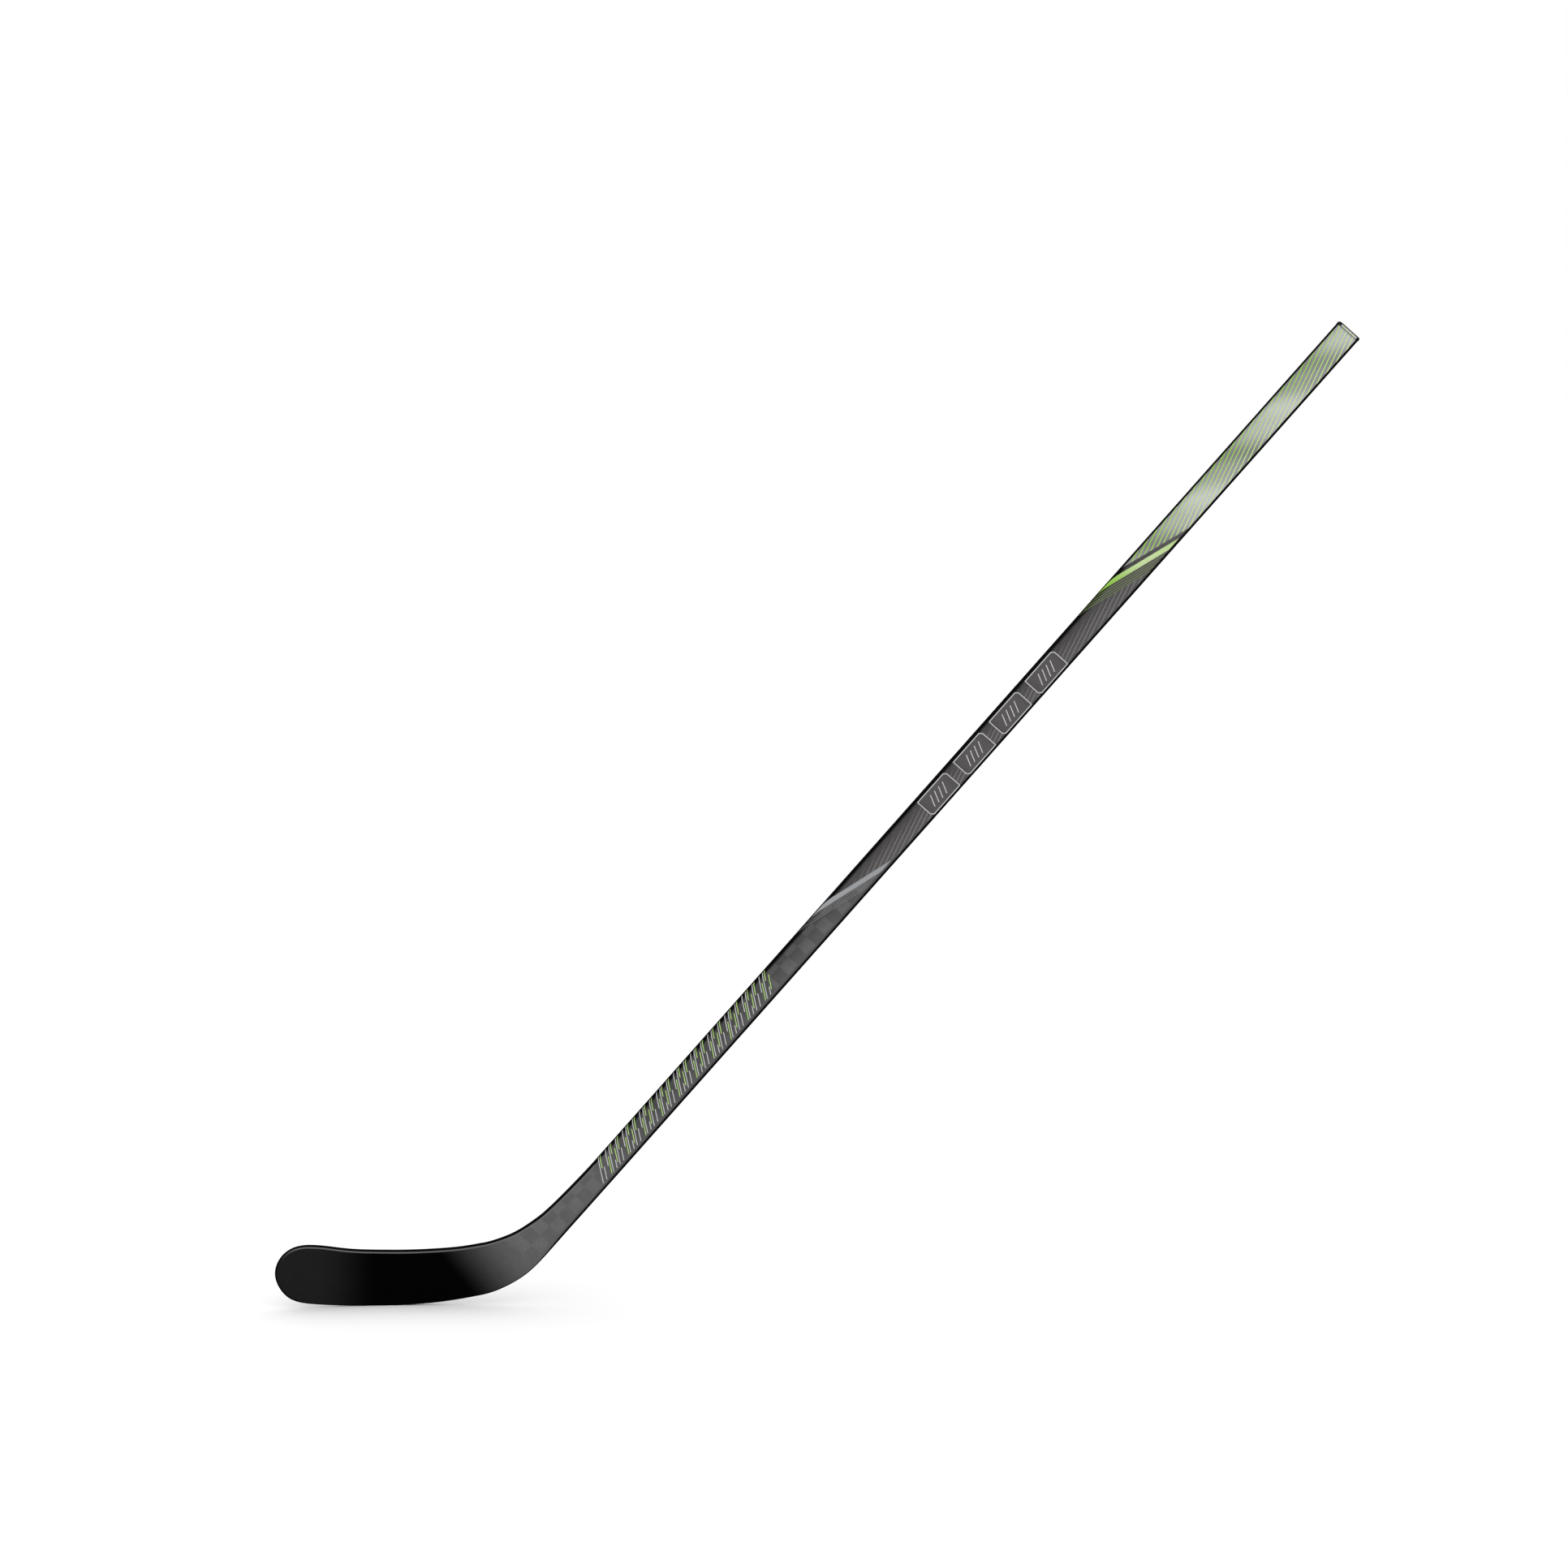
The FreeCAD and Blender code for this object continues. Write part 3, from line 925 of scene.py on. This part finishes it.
def stripeTree():
    # slanting stripes, cut off at two slanting lines and at the print's two long edges
    sizes = ("First", "Pitch", "Width", "Slope", "Low", "High", "Begin", "Begin Slope", "End", "End Slope")
    inputs = [("Count", "Int"), ("Steps", "Int")] + [(size, "Float") for size in sizes] + wrapInputs
    tree, graph, source = newTree("slanting_stripes", inputs)
    columns = source.out("Count") * 2
    values = {"Size X": 1.0, "Size Y": 1.0, "Vertices X": columns, "Vertices Y": source.out("Steps")}
    grid = graph.add("GeometryNodeMeshGrid", None, values)
    split = graph.add("ShaderNodeSeparateXYZ", None, {0: graph.add("GeometryNodeInputPosition")})
    column = (split.out("X") + 0.5) * (columns - 1)
    slope = source.out("Slope")

    def span(centre):
        bottom = (source.out("Begin") - centre) / (slope + source.out("Begin Slope"))
        top = (source.out("End") - centre) / (slope + source.out("End Slope"))
        return bottom.most(source.out("Low")), top.least(source.out("High"))

    # faces between stripes, and stripes with nothing left, go
    number = (column / 2).floor()
    between = (column.floor() % 2) > 0.5
    low, high = span(source.out("First") + number * source.out("Pitch"))
    empty = (high - low) < film["shortest"]
    kept = graph.add("GeometryNodeDeleteGeometry", {"domain": "FACE", "mode": "ALL"},
                     {"Geometry": grid, "Selection": (between + empty) > 0.5})
    index = (column + 0.5).floor()
    number = (index / 2).floor()
    edge = index - number * 2 - 0.5
    centre = source.out("First") + number * source.out("Pitch") + edge * source.out("Width")
    low, high = span(centre)
    y = low + (split.out("Y") + 0.5) * (high - low)
    finishTree(graph, kept, source, wrapped(graph, source, centre + slope * y, y))
    return tree


trees = {"repeat": repeatTree(), "stripes": stripeTree()}


def throughTree(mesh, tree, values):
    # the tree's result as a plain mesh
    carrier = bpy.data.objects.new("carrier", mesh)
    bpy.context.scene.collection.objects.link(carrier)
    modifier = carrier.modifiers.new("print", "NODES")
    modifier.node_group = tree
    names = {item.name: item.identifier for item in tree.interface.items_tree
             if item.item_type == "SOCKET" and item.in_out == "INPUT"}
    for name, value in values.items():
        modifier[names[name]] = value
    bpy.context.view_layer.update()
    graph = bpy.context.evaluated_depsgraph_get()
    result = bpy.data.meshes.new_from_object(carrier.evaluated_get(graph))
    bpy.data.objects.remove(carrier)
    return result


def section(grow):
    # the shaft's section for a print, or a cap's that stands proud of it
    return {"Corner": shaftCorner + grow, "Half Depth": shaftDepth / 2 + grow,
            "Face Half": shaftWidth / 2 - shaftCorner}


def printPiece(name, tree, values, material, layer, body="stick", flat=None, grow=0.0):
    # the same print on both broad faces, as one thin film
    shape = bmesh.new()
    for side in (-1.0, 1.0):
        mesh = flat.copy() if flat else bpy.data.meshes.new(name)
        settings = dict(values)
        settings.update(section(grow))
        settings.update({"Lift": film[layer], "Side": side, "Material": material})
        result = throughTree(mesh, trees[tree], settings)
        if side > 0:
            result.flip_normals()
        shape.from_mesh(result)
    mesh = bpy.data.meshes.new(name)
    shape.to_mesh(mesh)
    shape.free()
    for polygon in mesh.polygons:
        polygon.use_smooth = True
    piece = addPiece(name, mesh, material, body)
    thick = piece.modifiers.new("film", "SOLIDIFY")
    thick.thickness = film["thickness"]
    thick.offset = -1.0
    return piece


def flatMesh(name, points, faces):
    mesh = bpy.data.meshes.new(name)
    mesh.from_pydata([(x, y, 0.0) for x, y in points], [], faces)
    return mesh


def sheetMesh(name, begin, beginSlope, end, endSlope, low, high, columns, rows):
    # a flat sheet between two slanting lines
    points, faces = [], []
    for row in range(rows + 1):
        y = low + (high - low) * row / rows
        left = begin - beginSlope * y
        right = end - endSlope * y
        points += [(left + (right - left) * c / columns, y) for c in range(columns + 1)]
    for row in range(rows):
        for c in range(columns):
            a = row * (columns + 1) + c
            faces.append((a, a + 1, a + columns + 2, a + columns + 1))
    return flatMesh(name, points, faces)


def strokes(name, lines, width, slant=0.0):
    # thin lines given in mm, with mitred corners; a line whose last point is its first is closed
    points, faces = [], []
    for line in lines:
        path = [Vector((x + slant * y, y)) * mm for x, y in line]
        closed = line[0] == line[-1]
        if closed:
            path = path[:-1]
        count = len(path)
        pairs = []
        for i, spot in enumerate(path):
            before = path[i - 1] if closed or i else spot * 2 - path[i + 1]
            after = path[(i + 1) % count] if closed or i < count - 1 else spot * 2 - path[i - 1]
            first = (spot - before).normalized()
            second = (after - spot).normalized()
            normal = Vector((-first.y - second.y, first.x + second.x)).normalized()
            reach = width / 2 / max(normal.dot(Vector((-first.y, first.x))), film["mitre"])
            pairs.append((spot - normal * reach, spot + normal * reach))
        stops = list(range(count)) + ([0] if closed else [])
        for i, j in zip(stops, stops[1:]):
            cuts = max(int((path[j] - path[i]).length / film["strokeStep"]), 1)
            base = len(points)
            for c in range(cuts + 1):
                share = c / cuts
                for side in (0, 1):
                    spot = pairs[i][side].lerp(pairs[j][side], share)
                    points.append((spot.x, spot.y))
            for c in range(cuts):
                a = base + 2 * c
                faces.append((a, a + 2, a + 3, a + 1))
    return flatMesh(name, points, faces)


wide = {"Begin": -9.0, "Begin Slope": 9.0, "End": 99.0, "End Slope": 9.0}   # bounds that cut nothing

# a slanting band with thin lines beside it
silver = {
    "centre": 667.4 * mm, "slope": -3.45, "width": 21.0 * mm, "low": -9.8 * mm, "high": 17.6 * mm,
    "lines": 3, "gap": 6.0 * mm, "linePitch": -8.5 * mm, "lineWidth": 2.0 * mm, "steps": 40,
}
green = {
    "centre": 1169.0 * mm, "slope": -3.17, "width": 19.0 * mm, "low": -11.6 * mm, "high": 17.6 * mm,
    "lines": 4, "gap": 8.0 * mm, "linePitch": -8.2 * mm, "lineWidth": 2.0 * mm, "steps": 40,
}


def band(like, bandName, bandInk, linesName, linesInk):
    values = dict(wide)
    values.update({"Slope": like["slope"], "Low": like["low"], "High": like["high"], "Steps": like["steps"],
                   "Count": 1, "First": like["centre"], "Pitch": 1.0, "Width": like["width"]})
    printPiece(bandName, "stripes", values, bandInk, "low")
    values.update({"Count": like["lines"], "First": like["centre"] - like["width"] / 2 - like["gap"],
                   "Pitch": like["linePitch"], "Width": like["lineWidth"]})
    printPiece(linesName, "stripes", values, linesInk, "low")


band(silver, "silver_band", inkPaint("silver_ink", "silver", "silverLow", silverShare, 0.15),
     "silver_lines", inkPaint("thin_line_ink", "silverLine"))
band(green, "green_band", inkPaint("green_ink", "deepGreen", "paleGreen", greenShare, 0.1),
     "green_lines", inkPaint("green_line_ink", "greenLine"))

pins = {
    "Count": 33, "First": 640 * mm, "Pitch": 17.6 * mm, "Width": 4.4 * mm, "Slope": 3.62,
    "Low": -11.5 * mm, "High": 12.8 * mm,
    "Begin": 679.5 * mm, "Begin Slope": 3.45, "End": 1124.0 * mm, "End Slope": 3.17, "Steps": 40,
}
pinInk = inkPaint("pinstripe_ink", "pinstripe", "pinstripeDark", pinShade)
printPiece("pinstripes", "stripes", pins, pinInk, "low")

handle = {
    "begin": 1192.5 * mm, "beginSlope": 3.10, "end": 1519.5 * mm, "low": -12.1 * mm, "high": 15.0 * mm,
    "inset": 0.4 * mm,             # the stripes start this far in from the lacquer's edge
    "columns": 60, "rows": 44,
}
stripes = {
    "Count": 32, "First": 1120 * mm, "Pitch": 17.0 * mm, "Width": 5.2 * mm, "Slope": 3.40,
    "Low": handle["low"], "High": handle["high"],
    "Begin": handle["begin"] + handle["inset"], "Begin Slope": handle["beginSlope"],
    "End": handle["end"], "End Slope": 0.0, "Steps": 44,
}
once = {"Count": 1, "Start": 0.0, "Pitch": 1.0}
lacquer = inkPaint("handle_lacquer", "handle", "handleLight", handleWaves, 0.15, 0.34)
handleSheet = sheetMesh("handle_sheet", handle["begin"], handle["beginSlope"], handle["end"], 0.0,
                        handle["low"], handle["high"], handle["columns"], handle["rows"])
printPiece("handle_lacquer", "repeat", once, lacquer, "low", flat=handleSheet)
stripeInk = inkPaint("handle_green", "deepGreen", "paleGreen", handleGreen, 0.05)
printPiece("handle_stripes", "stripes", stripes, stripeInk, "high")
print("bands, pinstripes and handle stripes are printed")


# printed motifs: slanting lines of mixed lengths, and framed hatching; their own points are in mm

def boxLine(left, low, right, high, cut):
    # a closed outline with its far top corner and near bottom corner cut
    return [(left + cut, low), (right, low), (right, high - cut), (right - cut, high), (left, high),
            (left, low + cut), (left + cut, low)]


def repeated(like):
    return {"Count": like["count"], "Start": like["start"], "Pitch": like["pitch"]}


slanted = {
    "count": 10, "start": 201 * mm, "pitch": 30.8 * mm, "slant": 0.75, "width": 1.0 * mm,
    "grey": [
        [(0, -9), (0, 17)],
        [(6.4, -9), (6.4, 3.5)],
        [(12.6, 0.5), (12.6, 17)],
        [(18.8, -9), (18.8, 17)],
        [(25, -9), (25, -1)],
    ],
    "green": [
        [(3.1, 4), (3.1, 17)],
        [(15.7, -9), (15.7, 8)],
        [(21.9, 6.5), (21.9, 17)],
        [(27.6, -5), (27.6, 9)],
    ],
}
lineInk = inkPaint("line_ink", "outline")
accentInk = inkPaint("green_outline_ink", "green")
for name, colour, ink in (("slanted_outlines", "grey", lineInk), ("slanted_accents", "green", accentInk)):
    motif = strokes(colour + "_cell", slanted[colour], slanted["width"], slanted["slant"])
    printPiece(name, "repeat", repeated(slanted), ink, "low", flat=motif)

framed = {
    "count": 4, "start": 782 * mm, "pitch": 63.3 * mm, "width": 1.1 * mm,
    "length": 48.0, "low": -11.5, "high": 12.0, "cut": 3.0,
    "hatches": 4, "hatchStart": 10.0, "hatchPitch": 7.0, "hatchLean": 6.5, "hatchHalf": 6.5,
    "endMargin": 0.4, "lowMargin": 0.3, "highMargin": 0.2,    # the ground stays inside its outline
    "columns": 4, "rows": 12,
}
hatches = []
for number in range(framed["hatches"]):
    foot = framed["hatchStart"] + number * framed["hatchPitch"]
    hatches.append([(foot, -framed["hatchHalf"]), (foot + framed["hatchLean"], framed["hatchHalf"])])
frameLine = boxLine(0, framed["low"], framed["length"], framed["high"], framed["cut"])
frameCell = strokes("bar_cell", [frameLine] + hatches, framed["width"])
fillEnd = framed["length"] - framed["endMargin"]
fillCell = sheetMesh("bar_fill", framed["endMargin"] * mm, 0.0, fillEnd * mm, 0.0,
                     (framed["low"] + framed["lowMargin"]) * mm, (framed["high"] - framed["highMargin"]) * mm,
                     framed["columns"], framed["rows"])
fillInk = inkPaint("bar_fill_ink", "barFill")
printPiece("bar_grounds", "repeat", repeated(framed), fillInk, "high", flat=fillCell)
printPiece("bar_outlines", "repeat", repeated(framed), lineInk, "top", flat=frameCell)
print("slanting lines and framed hatching are printed")


# butt end, and what is inside the shell

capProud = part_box("butt_plug")[1].y - (heel.y + shaftDepth / 2)    # the cap stands proud of the shaft
cap = {
    "begin": stationEnd + 0.35 * mm, "end": stationEnd + 2.9 * mm, "low": -11.4 * mm, "high": 11.8 * mm,
    "columns": 3, "rows": 44, "steps": 6,
}
capSheet = sheetMesh("cap_sheet", cap["begin"], 0.0, cap["end"], 0.0, cap["low"], cap["high"],
                     cap["columns"], cap["rows"])
printPiece("cap_lacquer", "repeat", once, lacquer, "low", "plug", capSheet, capProud)
capStripes = dict(stripes)
capStripes.update({"Begin": cap["begin"], "Begin Slope": 0.0, "End": cap["end"], "Low": cap["low"],
                   "High": cap["high"], "Steps": cap["steps"]})
printPiece("cap_stripes", "stripes", capStripes, stripeInk, "high", "plug", None, capProud)

coreFoam = foamPaint("blade_foam", "blade")
plies = plainPaint("bare_carbon_plies", "plies")
glue = plainPaint("cured_adhesive", "glue")
finishes = {
    "shaft_tube": plies,
    "hosel_tenon": plies,
    "blade_centre_rib": plies,
    "shaft_foam_damper": foamPaint("damper_foam", "damper"),
    "hosel_foam_core": coreFoam,
    "tenon_foam_core": coreFoam,
    "blade_upper_core": coreFoam,
    "blade_lower_core": coreFoam,
    "hosel_bond_sleeve": glue,
    "shaft_bond_sleeve": glue,
    "butt_plug": plainPaint("moulded_black_plastic", "plug"),
}
for name, node in nodes.items():
    material = finishes.get(name, bodyPaint)      # the replaced nodes are hidden
    if not node.data.materials:
        node.data.materials.append(material)
    for row in node.material_slots:
        row.material = material
print("inner pieces and the butt plug are painted")
